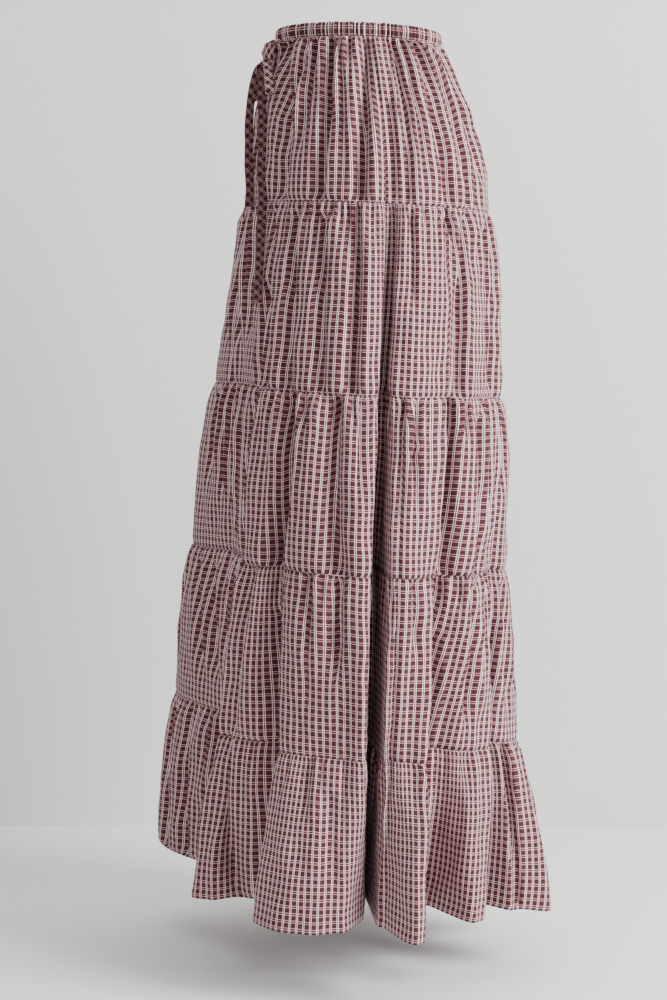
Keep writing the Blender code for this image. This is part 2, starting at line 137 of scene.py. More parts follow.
SEAM_DROPS = [tier.bottom for tier in TIERS]


# %% The ring at any height
def smooth_along(at, knots, values):
    """A smooth curve through values given at rising knots."""
    knots, values = np.asarray(knots), np.asarray(values)
    slopes = np.gradient(values, knots)
    left = int(np.clip(np.searchsorted(knots, at) - 1, 0, len(knots) - 2))
    span = knots[left + 1] - knots[left]
    t = (at - knots[left]) / span
    start = (1 + 2 * t) * (1 - t) ** 2 * values[left] + t * (1 - t) ** 2 * span * slopes[left]
    end = t * t * (3 - 2 * t) * values[left + 1] + t * t * (t - 1) * span * slopes[left + 1]
    return start + end


def fold_angle(fold, drop):
    """Where a fold lies at one height, in radians."""
    knots = (SEAM_DROPS[0], SEAM_DROPS[2], SEAM_DROPS[4])
    return math.radians(np.interp(drop, knots, (fold.at_hip, fold.at_knee, fold.at_hem)))


def fold_wave(angles, drop):
    """The large folds around one ring, eased from each crest to the next valley."""
    stops = [fold_angle(fold, drop) for fold in FOLDS]
    pushes = [smooth_along(drop, [0.0] + SEAM_DROPS, (0, *fold[4:])) / 1000 for fold in FOLDS]
    stops.append(stops[0] + 2 * math.pi)
    pushes.append(pushes[0])
    turned = (angles - stops[0]) % (2 * math.pi) + stops[0]
    index = np.clip(np.searchsorted(stops, turned, side="right") - 1, 0, len(FOLDS) - 1)
    stops, pushes = np.array(stops), np.array(pushes)
    share = (turned - stops[index]) / (stops[index + 1] - stops[index])
    ease = 0.5 - 0.5 * np.cos(math.pi * share)
    return pushes[index] + (pushes[index + 1] - pushes[index]) * ease


# Brims and slits: the plan angle in degrees at seams 2, 3, 4 and the hem, and what the stop
# adds to the fold there, in mm. Two stops a degree apart make a wall that stands on edge.
Brim = namedtuple("Brim", "name turn_2 turn_3 turn_4 turn_hem push_2 push_3 push_4 push_hem")
BRIMS = [
    Brim("front", -78, -80, -92, -100, 0, 0, 0, 0),
    Brim("front_flute_behind", -55, -55.5, -67, -76, -12, -28, -44, -44),
    Brim("front_flute_brim", -53.5, -53.8, -65, -74, 1, 3, 4, 9),
    Brim("front_flute", -50, -50, -60, -66.5, 0, 0, -6, -8),
    Brim("front_flute_back", -47.5, -47.5, -56, -64.5, 0, 0, 0, -28),
    Brim("side_flute_valley", -45, -45, -48, -58, 0, 0, 14, 2),
    Brim("side_flute_behind", -38, -38.5, -37.5, -44.8, -4, -12, -24, -40),
    Brim("side_flute_brim", -36, -36, -35, -42.4, 0, 1, 3, 23),
    Brim("side_flute", -32, -32, -30, -36, 0, 0, 0, 17),
    Brim("side_flute_middle", -24, -24, -24, -26, 0, 0, -1, 7),
    Brim("side_flute_back", -16, -16, -16.5, -18.4, 0, 0, -1, -10),
    Brim("slit_edge", -8.6, -9.5, -11.2, -12.6, 12, 25, 32, -14),
    Brim("slit_wall", -7.8, -8.3, -10.0, -10.5, -12, -32, -34, -58),
    Brim("slit_middle", -6.6, -6.8, -8.9, -9.5, -20, -48, -48, -98),
    Brim("slit_end", -5.2, -5.2, -7.6, -9.2, -18, -42, -34, -66),
    Brim("seam_flute_edge", -4.0, -4.2, -6.7, -8.8, 6, 14, 30, 14),
    Brim("seam_flute_hollow", -1.8, -2.1, -4.6, -6.4, 2, 3, 6, 2),
    Brim("seam_flute", 2, 2, -0.8, -2.9, 0, 0, -5, 9),
    Brim("seam_flute_brim", 14.5, 9.2, 3.4, 0.3, 0, 1, 8, -4),
    Brim("back_flute_start", 16, 10.6, 4.8, 2.3, -6, -14, -44, -68),
    Brim("back_flute_valley", 19, 14, 8, 6, -2, -6, -40, -64),
    Brim("back_flute_deep", 24, 19, 12.7, 12, 0, 0, -19, -20),
    Brim("back_flute_wall", 27, 22, 17, 16.8, 0, 0, -14, -26),
    Brim("back_flute_left", 30, 25, 21.5, 19.3, 0, 0, -12, 5),
    Brim("back_flute", 36, 31, 26, 22.5, 0, 0, -3, 4),
    Brim("back_flute_brim", 42.0, 40.5, 34.0, 26.5, 1, 2, 10, 8),
    Brim("far_flute_start", 43.5, 42, 35.7, 28.2, -14, -24, -38, -52),
    Brim("far_flute_valley", 48, 47, 39.5, 34, -6, -8, -24, -40),
    Brim("far_flute_wall", 53, 51, 43, 40.8, 0, 0, -4, -3),
    Brim("far_flute_left", 56, 54, 46, 42.6, 0, 0, 2, 46),
    Brim("far_flute", 60, 58, 55, 50, 0, 0, -8, 20),
    Brim("far_flute_end", 65, 64, 63, 58, 0, 0, 0, 0),
]
BRIM_DROPS = (0.192, 0.400, 0.593, 0.787, 0.969)


def hidden_brims(fold, towards):
    """The same kind of brim on one large valley of the right side or the back."""
    turns = (fold.at_hip + 1, fold.at_knee, 0.5 * (fold.at_knee + fold.at_hem), fold.at_hem)
    depths = [-push for push in fold[5:]]
    stops = ((-7.0, 0.0), (-4.2, 0.34), (-2.6, -0.26), (1.4, -0.20), (6.0, 0.0))
    for place, (aside, share) in enumerate(stops if towards > 0 else stops[::-1]):
        yield Brim(f"{fold.name}_{place}", *(turn + towards * aside for turn in turns),
                   *(share * depth for depth in depths))


for fold in FOLDS:
    if fold.name.startswith("valley") and 60 < fold.at_hem < 210:
        BRIMS += hidden_brims(fold, -1 if fold.name in ("valley_back_b", "valley_right_seam") else 1)
print(len(BRIMS), "stops of brims")


# %% The ring with its brims
def brim_wave(angles, drop):
    """What the brims and slits add to the large folds at one height, in metres."""
    if drop <= BRIM_DROPS[0]:
        return np.zeros_like(angles)
    stops = np.radians([np.interp(drop, BRIM_DROPS[1:], brim[1:5]) for brim in BRIMS])
    pushes = np.array([smooth_along(drop, BRIM_DROPS, (0, *brim[5:])) for brim in BRIMS]) / 1000
    turned = (angles - stops[0]) % (2 * math.pi) + stops[0]
    index = np.clip(np.searchsorted(stops, turned, side="right") - 1, 0, len(BRIMS) - 2)
    share = np.minimum((turned - stops[index]) / (stops[index + 1] - stops[index]), 1)
    return pushes[index] + (pushes[index + 1] - pushes[index]) * (0.5 - 0.5 * np.cos(math.pi * share))


def ring_points(angles, drop, swell=0.0, brims=True):
    """The cloth's plan at one height, and how far its folds push."""
    knots = [section.drop for section in SECTIONS]
    half_x, half_y, centre_y = (smooth_along(drop, knots, [section[i] for section in SECTIONS])
                                for i in (1, 2, 3))
    radius = swell + 1 / np.hypot(np.cos(angles) / half_x, np.sin(angles) / half_y)
    push = fold_wave(angles, drop) + (brim_wave(angles, drop) if brims else 0)
    x = (radius + push) * np.cos(angles)
    y = (radius + push) * np.sin(angles) + centre_y
    return np.column_stack((x, y)), push


def stride_lift(angles, drop):
    """How far the forward leg lifts the cloth around one ring."""
    turn = np.abs((angles - STRIDE_ANGLE + math.pi) % (2 * math.pi) - math.pi)
    near = 0.5 + 0.5 * np.cos(math.pi * np.minimum(turn / STRIDE_SPREAD, 1))
    return STRIDE_RISE * near * np.interp(drop, (STRIDE_TOP, STRIDE_FULL), (0, 1))


def plan_normals(points):
    """Outward directions along a plan curve that runs anticlockwise."""
    steps = np.gradient(points, axis=0)
    steps /= np.linalg.norm(steps, axis=1)[:, None]
    return np.column_stack((steps[:, 1], -steps[:, 0]))


hip_ring = ring_points(np.linspace(0, 2 * math.pi, 721), SEAM_DROPS[0])[0]
hip_round = np.linalg.norm(np.diff(hip_ring, axis=0), axis=1).sum()
print("round the first seam:", round(float(hip_round), 3), "m")

# %% [markdown]
# ## Cloth that knows its own weave
#
# A check only looks woven if it follows the threads through every gather. So each panel
# carries a UV map in metres of flat cloth: u runs along the seam at the cut width, v runs
# down the strip. Where the strip is gathered its threads crowd together, as real ones do.
# The rows of the grid are close together under a seam, where the gathers are small.

# %% Rows, columns and the panel's plain form
PATH_STEPS = 3000
ANCHOR_BRIMS = ("front_flute_brim", "side_flute_brim", "side_flute_middle", "seam_flute",
                "seam_flute_brim", "far_flute_end")
ANCHOR_FOLDS = ("crest_front_right", "crest_back_a", "crest_back_b", "crest_back_right",
                "crest_right_seam")
LEFT_SEAM, RIGHT_SEAM = FOLDS[6], FOLDS[18]
Form = namedtuple("Form", "plan outward turn reach lift drops below above along threads tracks")


def row_shares(count, extra=()):
    """Heights of a panel's rows: close at the gathered top, and again at the lower seam."""
    fine = np.linspace(0, 1, 2001)
    density = 1 + 3.4 * np.exp(-fine / 0.10) + 1.6 * np.exp(-(1 - fine) / 0.05)
    filled = np.concatenate(([0], np.cumsum(0.5 * (density[1:] + density[:-1]))))
    rows = np.interp(np.linspace(0, filled[-1], count), filled, fine)
    return np.unique(np.concatenate((rows, extra)))


def puff_share(share):
    """How much of its swelling a tier has at a share of its height."""
    return 1.25 * (1 - math.exp(-share / 0.20)) * (1 - share) ** 0.6


def panel_span(panel_index, drop):
    """The angles between which a panel lies: front is 0, back is 1."""
    left, right = fold_angle(LEFT_SEAM, drop), fold_angle(RIGHT_SEAM, drop)
    return (right - 2 * math.pi, left) if panel_index == 0 else (left, right)


def kept_turns(panel_index, every_brim):
    """Turns at each lower seam of the folds that a panel's threads run along."""
    sets = [brim[1:5] for brim in BRIMS if every_brim or brim.name in ANCHOR_BRIMS]
    if not every_brim:
        sets += [[math.degrees(fold_angle(fold, drop)) for drop in BRIM_DROPS[1:]]
                 for fold in FOLDS if fold.name in ANCHOR_FOLDS]
    kept = []
    for turns in sets:
        spans = [panel_span(panel_index, drop) for drop in BRIM_DROPS[1:]]
        places = [(math.radians(turn) - start) % (2 * math.pi)
                  for turn, (start, end) in zip(turns, spans)]
        if all(0.007 < place < end - start - 0.007 for place, (start, end) in zip(places, spans)):
            kept.append(turns)
    return kept


BRIM_KEPT = 0.5
KEPT = {(panel_index, every_brim): kept_turns(panel_index, every_brim)
        for panel_index in (0, 1) for every_brim in (False, True)}


def anchor_angles(panel_index, every_brim, drop):
    """Where those folds lie at one height, from the panel's first side seam to its last."""
    start = panel_span(panel_index, drop)[0]
    return start + np.sort([
        (math.radians(np.interp(drop, BRIM_DROPS[1:], turns)) - start) % (2 * math.pi)
        for turns in KEPT[panel_index, every_brim]])


def panel_form(tier_index, panel_index, shares, across):
    """The smooth form of one panel: places, outward ways and distances on its grid."""
    tier = TIERS[tier_index]
    height = tier.bottom - tier.top
    angles = np.linspace(*panel_span(panel_index, tier.bottom), PATH_STEPS)
    steps = np.linalg.norm(np.diff(ring_points(angles, tier.bottom)[0], axis=0), axis=1)
    travelled = np.concatenate(([0], np.cumsum(steps)))
    anchors = [np.concatenate(([0], np.interp(anchor_angles(panel_index, every, tier.bottom),
                                              angles, travelled) / travelled[-1], [1]))
               for every in (False, True)]
    rows = []
    for share in shares:
        drop = tier.top + height * share
        angles = np.linspace(*panel_span(panel_index, drop), PATH_STEPS)
        swell, step = tier.puff * puff_share(share), angles[1] - angles[0]
        fine, push = ring_points(angles, drop, swell)
        wider = np.concatenate(([angles[0] - step], angles, [angles[-1] + step]))
        travelled = np.concatenate(([0], np.cumsum(np.linalg.norm(np.diff(fine, axis=0), axis=1))))
        ways = []
        for every in (False, True):
            held = np.interp(anchor_angles(panel_index, every, drop), angles, travelled)
            ways.append(np.interp(across, anchors[every],
                                  np.concatenate(([0], held, travelled[-1:]))))
        stations = (1 - BRIM_KEPT) * ways[0] + BRIM_KEPT * ways[1]
        rise = stride_lift(angles, drop) - VALLEY_LIFT * np.minimum(push, 0)
        facing = plan_normals(ring_points(wider, drop, swell, brims=False)[0])[1:-1]
        rows.append((
            np.column_stack([np.interp(stations, travelled, fine[:, i]) for i in (0, 1)]),
            np.column_stack([np.interp(stations, travelled, facing[:, i]) for i in (0, 1)]),
            np.interp(stations, travelled, np.degrees(angles)), travelled[-1],
            np.interp(stations, travelled, rise), drop, stations, (np.degrees(angles), travelled)))
    plan, outward, turn, reach, lift, drops, along, tracks = zip(*rows)
    below, along, reach = (height * shares)[:, None], np.array(along), np.array(reach)[:, None]
    return Form(np.array(plan), np.array(outward), np.array(turn), reach, np.array(lift),
                np.array(drops)[:, None], below, height - below, along,
                (along[0] / reach[0])[None, :], tracks)


shares = row_shares(48)
across = np.linspace(0, 1, 241)
trial = panel_form(0, 0, shares, across)
print("first tier's front reaches", [round(float(r), 3) for r in trial.reach[[0, -1], 0]], "m")

# %% [markdown]
# ## Gathers under each seam
#
# A gathering thread draws the strip up into small pleats. Each one is deepest a few
# millimetres under the seam and dies out lower down, and no two have the same depth or
# length. Every pleat is a soft trough with a slight ridge on each side, written as a
# function of the distance from its middle, so that it can lean and widen as it falls.


# %% Troughs, gathers and the seam's own line
def trough(distance, half_width):
    """A trough of depth 1 with a slight ridge on both sides."""
    near = (distance / half_width) ** 2
    return np.exp(-near) - 0.28 * np.exp(-near / 6.5)


# Kinds of gathers: how many for each pleat of the measured wall, the least depth and what
# chance adds in mm, the least length and what chance adds in mm, half width and its growth.
Gather = namedtuple("Gather", "seed number deep deeper long longer half_width growth lean")
GATHERS = (
    Gather(1000, 1.30, 1.2, 8.0, 50, 200, 3.1, 0.016, 0.10),
    Gather(2000, 2.90, 0.7, 4.6, 12, 80, 1.7, 0.034, 0.40),
)


def side_fade(across, reach):
    """Gathers die out within a few millimetres of a side seam, so that panels meet."""
    return 1 - np.exp(-(np.minimum(across, 1 - across) * reach / 0.006) ** 2)


def gather_depth(tier_index, panel_index, across, reach, below):
    """How deep the gathers lie, in metres, at places across and below the seam."""
    tier = TIERS[tier_index]
    height = tier.bottom - tier.top
    seed = 41 + 10 * tier_index + panel_index
    start = 0.14 if tier_index else 0.80
    tight = start + (1 - start) * np.minimum(below / 0.007, 1.0) ** 0.8
    depth = np.zeros(np.broadcast_shapes(across.shape, below.shape))
    for gather, (wander, deep, long) in enumerate(
            np.random.default_rng(seed).random((tier.gathers, 3))):
        middle = (gather + 0.5 + 0.24 * (wander - 0.5)) / tier.gathers
        fade = np.maximum(0, 1 - below / ((0.30 + 0.90 * long) * height)) ** 1.2
        half_width = (0.14 + 0.12 * below / height) * reach / tier.gathers
        depth += (0.95 * tier.pleat * (0.45 + 1.10 * deep) * fade
                  * trough((across - middle) * reach, half_width))
    for kind in GATHERS:
        count = int(round(kind.number * tier.gathers))
        dice = np.random.default_rng(seed + kind.seed).random((count, 5))
        for gather, (wander, deep, long, lean, wide) in enumerate(dice):
            middle = (gather + 0.5 + 0.8 * (wander - 0.5)) / count
            length = (kind.long + kind.longer * long ** 1.8) / 1000
            fade = np.maximum(0, 1 - below / length) ** 1.2
            half_width = kind.half_width * (0.85 + 0.5 * wide) / 1000 + kind.growth * below
            offset = (across - middle) * reach - kind.lean * (lean - 0.5) * below
            depth += ((1.35 if tier_index else 2.1) * (kind.deep + kind.deeper * deep ** 2) / 1000
                      * fade * trough(offset, half_width))
    return depth * tight * side_fade(across, reach)


def seam_line_depth(tier_index, panel_index, across, reach):
    """How deep the seam above one tier lies; both tiers that meet there follow it."""
    return 0.0012 + gather_depth(tier_index, panel_index, across, reach, np.zeros((1, 1)))


sample = seam_line_depth(1, 0, across[None, :], np.array([[0.6]]))
print("second tier's seam lies up to", round(1000 * float(sample.max()), 1), "mm deep")

# %% [markdown]
# ## Creases listed one by one
#
# Cloth that hangs over a hip and a knee creases where the body pulls it. These are the
# creases a viewer would remember, so each is a row of its own: the share of the tier's
# height and the plan angle at each of its stops, its depth and its half width in mm.
# Front and left are listed one by one; the sides out of view get creases of the same make
# from a fixed seed.

# %% The creases
Crease = namedtuple("Crease", "tier stops depth half_width")
CREASES = [
    Crease(0, ((.00, -72), (.50, -58.5), (.91, -58.5)), 6.0, 12),
    Crease(0, ((.00, -47.5), (.24, -50), (.41, -52), (.57, -55)), 2.4, 4.5),
    Crease(0, ((.00, -40.5), (.26, -42), (.63, -44)), 3.2, 4.5),
    Crease(0, ((.00, -30), (.33, -30.5), (.63, -32.5), (.93, -33.5)), 4.6, 5),
    Crease(0, ((.00, -20), (.15, -21)), 3.0, 3),
    Crease(0, ((.00, -11), (.41, -15), (.96, -17.5)), 5.2, 5.5),
    Crease(0, ((.39, -5), (.98, -6)), 3.5, 6),
    Crease(0, ((.00, 3), (.67, 0), (.98, -1)), 3.2, 5),
    Crease(0, ((.00, 15.5), (.54, 14.5), (.96, 16)), 3.4, 5),
    Crease(0, ((.00, 24.5), (.48, 26), (.96, 27)), 3.4, 5),
    Crease(1, ((.06, -59), (.48, -54.5), (.96, -52)), 4.0, 6),
    Crease(1, ((.06, -45), (.48, -42.5), (.94, -41)), 3.6, 5),
    Crease(1, ((.08, -31), (.46, -29.5), (.94, -27.5)), 3.8, 6),
    Crease(1, ((.02, -24), (.12, -23.5)), 2.8, 3),
    Crease(1, ((.02, -18.5), (.46, -17), (.94, -17)), 5.0, 5),
    Crease(1, ((.02, -6), (.98, -6.5)), 3.0, 6),
    Crease(1, ((.06, 0), (.50, 0.5)), 3.0, 4.5),
    Crease(1, ((.02, 14.5), (.19, 16.5)), 5.5, 2.6),
    Crease(1, ((.04, 22.5), (.48, 19.5), (.90, 20)), 4.2, 5.5),
    Crease(1, ((.45, -58.5), (1.0, -60.5)), 5.0, 5.0),
    Crease(2, ((.00, -60.5), (1.0, -64.5)), 6.5, 5.6),
    Crease(2, ((.00, -38), (.37, -36.5), (.62, -37), (.96, -38.5)), 7.5, 8),
    Crease(2, ((.00, -22), (.44, -21), (.66, -20.5), (.92, -19)), 6.0, 8),
    Crease(2, ((.00, -32.5), (.12, -31)), 5.0, 2.3),
    Crease(2, ((.00, -42.5), (.10, -41)), 4.5, 2.3),
    Crease(2, ((.02, -13), (.55, -13)), 3.0, 5),
    Crease(2, ((.02, 3), (.30, 2)), 7.0, 2.4),
    Crease(2, ((.30, 2), (.60, 2.5)), 3.0, 4),
    Crease(2, ((.00, -1.5), (.12, -1.5)), 4.5, 2.8),
    Crease(2, ((.00, 16.5), (.50, 14.5), (.95, 13)), 6.0, 6),
    Crease(2, ((.00, 22), (.20, 21)), 7.0, 2.4),
    Crease(2, ((.10, 28.5), (.46, 27.5), (.91, 27)), 4.6, 6),
    Crease(3, ((.00, -64.5), (1.0, -80.0)), 6.5, 5.6),
    Crease(3, ((.25, -38.8), (1.0, -39.5)), 5.0, 5.0),
    Crease(3, ((.35, 12.0), (1.0, 9.5)), 5.0, 4.6),
    Crease(3, ((.30, 45.0), (1.0, 42.0)), 5.0, 5.0),
    Crease(3, ((.00, -18), (.20, -18), (.50, -18.5)), 5.0, 6),
    Crease(3, ((.00, -50), (.45, -52), (.90, -56)), 3.5, 7),
    Crease(3, ((.00, -27), (.16, -27.5)), 3.6, 3),
    Crease(3, ((.00, 2.5), (.40, 2.0)), 5.0, 4),
    Crease(3, ((.00, 12.5), (.41, 10), (.68, 8.2)), 6.5, 6.5),
    Crease(3, ((.00, 14), (.12, 13.5)), 4.5, 2.4),
    Crease(3, ((.00, 19), (.13, 18.5)), 4.5, 2.4),
    Crease(3, ((.06, 24.5), (.45, 24), (.78, 24)), 5.5, 6),
    Crease(4, ((.00, -80.0), (1.0, -92.0)), 5.0, 5.0),
    Crease(4, ((.00, -39.5), (1.0, -49.5)), 6.5, 5.6),
    Crease(4, ((.00, 9.5), (1.0, 8.0)), 6.0, 5.2),
    Crease(4, ((.00, 42.0), (1.0, 38.0)), 6.5, 5.6),
    Crease(4, ((.00, -58), (.30, -60), (.90, -62)), 4.0, 7),
    Crease(4, ((.00, -26), (.30, -26.5)), 3.0, 5),
    Crease(4, ((.20, -20), (.70, -20)), 2.6, 7),
    Crease(4, ((.00, 3.5), (.40, 3.0)), 4.2, 4.5),
]


def hidden_creases(tier_index):
    """Uneven creases for the front's far side, the right side and the back."""
    dice = np.random.default_rng(700 + tier_index)
    angle = 37.0
    while angle < 282.0:
        lean, start, end = dice.uniform(-3, 3), dice.uniform(0, 0.1), dice.uniform(0.45, 1.0)
        if tier_index == len(TIERS) - 1:
            end = 1.0
        stops = ((start, angle), (0.5 * (start + end), angle + 0.7 * lean), (end, angle + lean))
        yield Crease(tier_index, stops, dice.uniform(2.8, 5.2), dice.uniform(3.5, 8))
        angle += dice.uniform(7.5, 14)


for tier_index in range(len(TIERS)):
    CREASES += hidden_creases(tier_index)
print(len(CREASES), "creases in five tiers")


# %% How deep the creases lie
CREASE_PULL = (3.9, 3.5, 3.4, 3.2, 3.2)
CREASE_STEEP = (2.9, 2.6, 2.5, 2.3, 2.3)


def place_along(turn, angles, travelled):
    """How far along a row a plan angle lies, also a little past the panel's ends."""
    inside = np.interp(turn, angles, travelled)
    before = (travelled[30] - travelled[0]) / (angles[30] - angles[0])
    after = (travelled[-1] - travelled[-31]) / (angles[-1] - angles[-31])
    return inside + min(turn - angles[0], 0) * before + max(turn - angles[-1], 0) * after


def crease_depth(tier_index, form, shares):
    """The creases of one tier on one panel's grid, in metres."""
    depth = np.zeros(form.turn.shape)
    along = form.along
    for crease in (crease for crease in CREASES if crease.tier == tier_index):
        at, turns = zip(*crease.stops)
        start, end = at[0], at[-1]
        fade_in = np.clip((shares - start) / 0.05 + 0.5, 0, 1) if start > 0.03 else 1.0
        fade_out = np.clip((end + 0.12 - shares) / 0.24, 0, 1) if end < 0.9 else 1.0
        strength = fade_in * (3 * np.square(fade_out) - 2 * np.power(fade_out, 3))
        for row, (angles, travelled) in enumerate(form.tracks):
            power = strength if np.isscalar(strength) else strength[row]
            turn = np.interp(shares[row], at, turns)
            for whole in (-360.0, 0.0, 360.0):
                if power > 0 and angles[0] - 20 < turn + whole < angles[-1] + 20:
                    middle = place_along(turn + whole, angles, travelled)
                    half_width = crease.half_width / 1000 * (1.05 + 0.5 * shares[row])
                    steep = CREASE_STEEP[tier_index] * (1.7 if crease.half_width < 3 else 1.0)
                    deep = min(CREASE_PULL[tier_index] * crease.depth / 1000,
                               steep * half_width)
                    depth[row] += power * deep * trough(along[row] - middle, half_width)
    inside = (1 - np.exp(-form.below / 0.004)) * (1 - np.exp(-form.above / 0.004))
    return depth * inside


def crumple_depth(tier_index, panel_index, form, across):
    """The slow waves that soft cotton never quite loses, in metres."""
    dice = np.random.default_rng(300 + 10 * tier_index + panel_index)
    along = across[None, :] * form.reach[-1, 0]
    depth = np.zeros(form.turn.shape)
    for _ in range(14):
        wide, high = dice.uniform(0.030, 0.085), dice.uniform(0.05, 0.16)
        lean = dice.uniform(-0.35, 0.35)
        phase = 2 * math.pi * ((along + lean * form.below) / wide + dice.random())
        depth += 0.00038 * np.sin(phase) * np.sin(2 * math.pi * (form.below / high + dice.random()))
    ends = np.minimum(1, form.below / 0.02) * np.minimum(1, form.above / 0.02)
    return depth * ends * side_fade(across[None, :], form.reach)


print("deepest crease:", max(crease.depth for crease in CREASES), "mm")

# %% [markdown]
# ## Sewing the depth into a panel
#
# A panel starts as a flat grid from `create_grid`. Its vertices are then moved onto the form:
# sideways columns go round the ring, rows go down the tier, and the summed depth pulls
# each point in along the ring's outward way. Solidify gives the cloth its thickness
# towards the inside, and a fold of cloth closes the hem.

# %% One panel of cloth
CLOTH_THICKNESS = 0.0007
CHECK_SIZE = 0.0077
CHECK_TALL = 0.0080


def with_height(plan, drop, lift):
    """Plan points raised to their height, with the ring's tilt and the folds' lift."""
    return np.concatenate((plan, (-drop - RING_TILT * plan[..., 1] + lift)[..., None]), axis=-1)


def grid_piece(name, points, cloth_uv):
    """A cloth object from a grid of points, top row first, with its weave's UV map."""
    rows, columns = points.shape[:2]
    form = bmesh.new()
    bmesh.ops.create_grid(form, x_segments=columns - 1, y_segments=rows - 1, size=0.5)
    mesh = bpy.data.meshes.new(name)
    form.to_mesh(mesh)
    form.free()
    flat = np.empty(len(mesh.vertices) * 3)
    mesh.vertices.foreach_get("co", flat)
    flat = flat.reshape(-1, 3)
    column = np.rint((flat[:, 0] + 0.5) * (columns - 1)).astype(int)
    row = np.rint((0.5 - flat[:, 1]) * (rows - 1)).astype(int)
    mesh.vertices.foreach_set("co", points[row, column].ravel())
    corners = np.empty(len(mesh.loops), dtype=int)
    mesh.loops.foreach_get("vertex_index", corners)
    layer = mesh.uv_layers.new(name="cloth")
    layer.data.foreach_set("uv", cloth_uv[row, column][corners].ravel())
    mesh.shade_smooth()
    mesh.update()
    piece = bpy.data.objects.new(name, mesh)
    bpy.context.scene.collection.objects.link(piece)
    return piece


def thicken(piece, thickness, offset=-1.0):
    """Give a sheet its thickness on the inner side."""
    wall = piece.modifiers.new("cloth_thickness", "SOLIDIFY")
    wall.thickness = thickness
    wall.offset = offset
    wall.use_rim = True
    return wall


def crowded_threads(points, depth, across, width, window=0.024):
    """Where each thread of the flat strip lies: straight, but crowded in the troughs."""
    steps = np.linalg.norm(np.diff(points, axis=1), axis=2)
    hidden = np.maximum(0.5 * (depth[:, 1:] + depth[:, :-1]), 0) ** 1.25 * steps
    spare = np.maximum(width - steps.sum(axis=1), 0) / hidden.sum(axis=1)
    taken = steps + spare[:, None] * hidden
    far = np.concatenate((np.zeros((len(taken), 1)), np.cumsum(taken, axis=1)), axis=1)
    aside = far / far[:, -1:] * width - across * width
    count = max(3, int(window / width * len(across)) // 2 * 2 + 1)
    slow = aside
    for _ in range(2):
        padded = np.pad(slow, ((0, 0), (count // 2, count // 2)), mode="edge")
        sums = np.cumsum(np.concatenate((np.zeros((len(padded), 1)), padded), axis=1), axis=1)
        slow = (sums[:, count:] - sums[:, :-count]) / count
    return across * width + (aside - slow) * side_fade(across[None, :], width)


COLUMN_STEP = (0.00135, 0.00150, 0.00162, 0.00186, 0.00215)
HEM_FALL = 0.0045
Cut = namedtuple("Cut", "name width height")
cuts = []


def make_panel(tier_index, panel_index):
    """The cloth of one tier's front or back panel, on the form of its measured wall."""
    tier, side = TIERS[tier_index], ("front", "back")[panel_index]
    height = tier.bottom - tier.top
    last = tier_index == len(TIERS) - 1
    ends = (11, 10, 9.4, 8.9, 8.4, 1.2) if last else (0.6, 1.3, 2.4)
    extra = [mm / 1000 / height for mm in (0.5, 1.0, 1.7)] + [1 - mm / 1000 / height for mm in ends]
    shares = row_shares(37, extra)
    ring = ring_points(np.linspace(*panel_span(panel_index, tier.bottom), PATH_STEPS), tier.bottom)
    width = float(np.linalg.norm(np.diff(ring[0], axis=0), axis=1).sum())
    beside_seam = np.array((0.0005, 0.0011, 0.0018)) / width
    across = np.union1d(np.linspace(0, 1, int(width / COLUMN_STEP[tier_index])),
                        np.concatenate((beside_seam, 1 - beside_seam)))
    form = panel_form(tier_index, panel_index, shares, across)
    depth = gather_depth(tier_index, panel_index, form.threads, form.reach, form.below)
    depth += crease_depth(tier_index, form, shares)
    depth += crumple_depth(tier_index, panel_index, form, across)
    depth += 0.0012 * np.exp(-(form.below / 0.0012) ** 2)
    ends = np.minimum(form.along, form.reach - form.along)
    depth += 0.0030 * np.exp(-(ends / 0.0016) ** 2)
    if last:
        depth += 0.0004 * np.exp(-((form.above - 0.0089) / 0.0006) ** 2)
        depth -= 0.0004 * np.clip((0.0098 - form.above) / 0.001, 0, 1)
    else:
        line = seam_line_depth(tier_index + 1, panel_index, form.along[-1:] / form.reach[-1:],
                               form.reach[-1:])
        depth += line * np.exp(-(form.above / 0.0024) ** 1.5)
    fall = HEM_FALL * shares[:, None] if last else 0.0
    points = with_height(form.plan - form.outward * depth[..., None], form.drops + fall, form.lift)
    slant = np.linalg.norm(np.diff(points, axis=0), axis=2).sum(axis=0)
    long = float(np.median(slant))
    u = crowded_threads(points, depth, across, width)
    u += (0, width)[panel_index == 0] * -1 + 0.30 * CHECK_SIZE
    fallen = np.concatenate((np.zeros((1, len(across))), np.cumsum(
        np.linalg.norm(np.diff(points, axis=0), axis=2), axis=0)))
    even = shares[:, None]
    v = -(fallen * (1 - even) + even * (even * long)) + 0.0017 * tier_index
    piece = grid_piece(f"cloth_{tier.name}_{side}", points, np.stack((u, v), axis=-1))
    thicken(piece, CLOTH_THICKNESS)
    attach(piece, "root")
    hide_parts(f"{tier.name}_{side}")
    cuts.append(Cut(piece.name, round(width, 3), round(long, 3)))
    return piece


panels = {}
for tier_index in range(len(TIERS)):
    for panel_index in (0, 1):
        panels[tier_index, panel_index] = make_panel(tier_index, panel_index)
        print(cuts[-1], len(panels[tier_index, panel_index].data.polygons), "faces")

# %% [markdown]
# ## The waistband casing
#
# A strip folded over an elastic: it comes up outside, turns over the top and goes down
# inside. The stretched elastic gathers it into dozens of upright pleats that keep
# their depth from edge to edge. Its rows follow that path, and the joint is merged.

